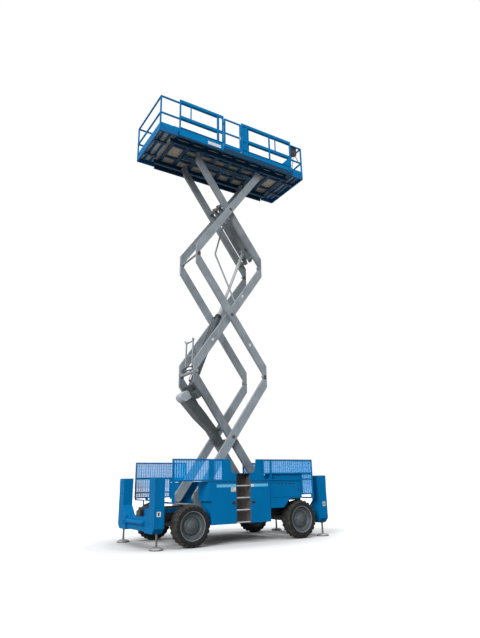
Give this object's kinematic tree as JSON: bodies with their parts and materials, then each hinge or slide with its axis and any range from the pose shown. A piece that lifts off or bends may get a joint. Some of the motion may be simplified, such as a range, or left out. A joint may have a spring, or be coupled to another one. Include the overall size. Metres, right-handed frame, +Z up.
{
  "type": "rough-terrain scissor lift",
  "caption": "Self-propelled scissor work platform, raised on outriggers, with roll-out decks, rails and mesh guards.",
  "frame": {"origin": "on the ground under the middle of the machine", "axes": "+X to the front, steering end; +Y to the left-hand side; +Z up"},
  "size_m": [4.73, 2.29, 11.16],
  "materials": {
    "frame_blue": "glossy blue machine enamel",
    "arm_grey": "satin grey enamel",
    "dark_paint": "satin black enamel",
    "chrome_rod": "hard chrome, polished",
    "tyre": "dusty black rubber",
    "rim": "satin grey enamel",
    "steel": "zinc plated steel",
    "deck": "bare deck plate",
    "control": "moulded black plastic"
  },
  "bodies": {
    "chassis": {"chassis_frame": "dark_paint", "scissor_tracks": "dark_paint", "outrigger_columns": "frame_blue", "outrigger_beams": "frame_blue", "side_box_right": "frame_blue", "side_box_left": "frame_blue", "ladder": "steel", "engine_cover": "frame_blue", "tank_cover": "frame_blue", "engine": "dark_paint", "tank": "dark_paint", "guard_front_right": "frame_blue", "guard_rear_right": "frame_blue", "guard_front_left": "frame_blue", "guard_rear_left": "frame_blue", "rear_axle": "dark_paint", "front_axle": "dark_paint"},
    "engine_door": {"engine_door": "frame_blue"},
    "tank_door": {"tank_door": "frame_blue"},
    "feet": {"foot_blocks": "frame_blue"},
    "stage1_outer": {"stage1_outer_arms": "arm_grey"},
    "stage1_inner": {"stage1_inner_arms": "arm_grey", "stage1_spine": "arm_grey"},
    "stage2_outer": {"stage2_outer_arms": "arm_grey"},
    "stage2_inner": {"stage2_inner_arms": "arm_grey", "stage2_inner_tie": "arm_grey"},
    "stage3_outer": {"stage3_outer_arms": "arm_grey", "stage3_outer_tie": "arm_grey"},
    "stage3_inner": {"stage3_inner_arms": "arm_grey", "stage3_spine": "arm_grey"},
    "shoes": {"head_shoes": "steel"},
    "barrel": {"lift_barrel": "dark_paint"},
    "rod": {"lift_rod": "chrome_rod"},
    "platform": {"platform_frame": "frame_blue", "platform_deck": "deck", "platform_rails_right": "frame_blue", "platform_rails_left": "frame_blue"},
    "gate": {"entry_gate": "frame_blue"},
    "front_extension": {"front_extension_deck": "frame_blue", "front_extension_rails": "frame_blue", "control_box": "control"},
    "rear_extension": {"rear_extension_deck": "frame_blue", "rear_extension_rails": "frame_blue"},
    "wheel_front_right": {"tyre_front_right": "tyre", "rim_front_right": "rim"},
    "leg_front_right": {"outrigger_leg_front_right": "steel"},
    "wheel_front_left": {"tyre_front_left": "tyre", "rim_front_left": "rim"},
    "leg_front_left": {"outrigger_leg_front_left": "steel"},
    "wheel_rear_right": {"tyre_rear_right": "tyre", "rim_rear_right": "rim"},
    "leg_rear_right": {"outrigger_leg_rear_right": "steel"},
    "wheel_rear_left": {"tyre_rear_left": "tyre", "rim_rear_left": "rim"},
    "leg_rear_left": {"outrigger_leg_rear_left": "steel"},
    "knuckle_right": {"steering_knuckle_right": "dark_paint"},
    "knuckle_left": {"steering_knuckle_left": "dark_paint"}
  },
  "joints": [
    {"name": "roll_front_right", "type": "hinge", "parent": "knuckle_right", "child": "wheel_front_right", "pos_m": [1.42, -0.987, 0.417], "axis": [0, 1, 0], "continuous": true},
    {"name": "leg_front_right", "type": "slide", "parent": "chassis", "child": "leg_front_right", "axis": [0, 0, 1], "range_m": [0, 0.23]},
    {"name": "roll_front_left", "type": "hinge", "parent": "knuckle_left", "child": "wheel_front_left", "pos_m": [1.42, 0.987, 0.417], "axis": [0, 1, 0], "continuous": true},
    {"name": "leg_front_left", "type": "slide", "parent": "chassis", "child": "leg_front_left", "axis": [0, 0, 1], "range_m": [0, 0.23]},
    {"name": "roll_rear_right", "type": "hinge", "parent": "chassis", "child": "wheel_rear_right", "pos_m": [-1.42, -0.987, 0.417], "axis": [0, 1, 0], "continuous": true},
    {"name": "leg_rear_right", "type": "slide", "parent": "chassis", "child": "leg_rear_right", "axis": [0, 0, 1], "range_m": [0, 0.23]},
    {"name": "roll_rear_left", "type": "hinge", "parent": "chassis", "child": "wheel_rear_left", "pos_m": [-1.42, 0.987, 0.417], "axis": [0, 1, 0], "continuous": true},
    {"name": "leg_rear_left", "type": "slide", "parent": "chassis", "child": "leg_rear_left", "axis": [0, 0, 1], "range_m": [0, 0.23]},
    {"name": "steer_right", "type": "hinge", "parent": "chassis", "child": "knuckle_right", "pos_m": [1.42, -0.795, 0.417], "axis": [0, 0, 1], "range_deg": [-30, 30]},
    {"name": "steer_left", "type": "hinge", "parent": "chassis", "child": "knuckle_left", "pos_m": [1.42, 0.795, 0.417], "axis": [0, 0, 1], "range_deg": [-30.5, 30.5]},
    {"name": "lift", "type": "hinge", "parent": "feet", "child": "stage1_outer", "pos_m": [-1.02603, 0, 0.932], "axis": [0, 1, 0], "range_deg": [0, 52.44]},
    {"name": "feet_slide", "type": "slide", "parent": "chassis", "child": "feet", "axis": [-1, 0, 0], "range_m": [-0.001, 0.69795]},
    {"name": "pin_centre_1", "type": "hinge", "parent": "stage1_outer", "child": "stage1_inner", "pos_m": [-0.056, 0, 2.28893], "axis": [0, 1, 0], "range_deg": [-104.89, 0.01]},
    {"name": "elbow_1_right", "type": "hinge", "parent": "stage1_outer", "child": "stage2_outer", "pos_m": [0.9155, 0, 3.82846], "axis": [0, 1, 0], "range_deg": [-104.89, 0.01]},
    {"name": "elbow_1_left", "type": "hinge", "parent": "stage1_inner", "child": "stage2_inner", "pos_m": [-1.0275, 0, 3.82846], "axis": [0, 1, 0], "range_deg": [-0.01, 104.89]},
    {"name": "elbow_2_left", "type": "hinge", "parent": "stage2_outer", "child": "stage3_outer", "pos_m": [-1.0275, 0, 6.90752], "axis": [0, 1, 0], "range_deg": [-0.01, 104.89]},
    {"name": "elbow_2_right", "type": "hinge", "parent": "stage2_inner", "child": "stage3_inner", "pos_m": [0.9155, 0, 6.90752], "axis": [0, 1, 0], "range_deg": [-104.89, 0.01]},
    {"name": "head_pin", "type": "hinge", "parent": "stage3_inner", "child": "shoes", "pos_m": [-1.0275, 0, 9.98658], "axis": [0, 1, 0], "range_deg": [-0.01, 52.45]},
    {"name": "platform_slide", "type": "slide", "parent": "shoes", "child": "platform", "axis": [1, 0, 0], "range_m": [-0.001, 0.84213]},
    {"name": "cylinder_pin", "type": "hinge", "parent": "stage1_inner", "child": "barrel", "pos_m": [-0.95145, 0, 3.46931], "axis": [0, 1, 0], "range_deg": [-0.01, 105.99]},
    {"name": "cylinder_stroke", "type": "slide", "parent": "barrel", "child": "rod", "axis": [-0.3708, 0, -0.9287], "range_m": [-0.001, 1.65591]},
    {"name": "front_extension_slide", "type": "slide", "parent": "platform", "child": "front_extension", "axis": [1, 0, 0], "range_m": [0, 1.52]},
    {"name": "rear_extension_slide", "type": "slide", "parent": "platform", "child": "rear_extension", "axis": [-1, 0, 0], "range_m": [0, 1.22]},
    {"name": "gate_hinge", "type": "hinge", "parent": "platform", "child": "gate", "pos_m": [-0.449, -0.821, 10.65], "axis": [0, 0, 1], "range_deg": [0, 90]},
    {"name": "engine_door_hinge", "type": "hinge", "parent": "chassis", "child": "engine_door", "pos_m": [0.569, -1.139, 1.08], "axis": [0, 0, -1], "range_deg": [0, 100]},
    {"name": "tank_door_hinge", "type": "hinge", "parent": "chassis", "child": "tank_door", "pos_m": [-0.569, 1.139, 1.08], "axis": [0, 0, -1], "range_deg": [0, 100]}
  ],
  "couplings": [
    {"joint": "steer_left", "follows": "steer_right", "ratio": 1},
    {"joint": "feet_slide", "follows": "lift", "m_per_rad": 0.76149},
    {"joint": "pin_centre_1", "follows": "lift", "ratio": -2},
    {"joint": "elbow_1_right", "follows": "lift", "ratio": -2},
    {"joint": "elbow_1_left", "follows": "lift", "ratio": 2},
    {"joint": "elbow_2_left", "follows": "lift", "ratio": 2},
    {"joint": "elbow_2_right", "follows": "lift", "ratio": -2},
    {"joint": "head_pin", "follows": "lift", "ratio": 1},
    {"joint": "platform_slide", "follows": "lift", "m_per_rad": 0.91901},
    {"joint": "cylinder_pin", "follows": "lift", "ratio": 2.021},
    {"joint": "cylinder_stroke", "follows": "lift", "m_per_rad": 1.8081}
  ]
}
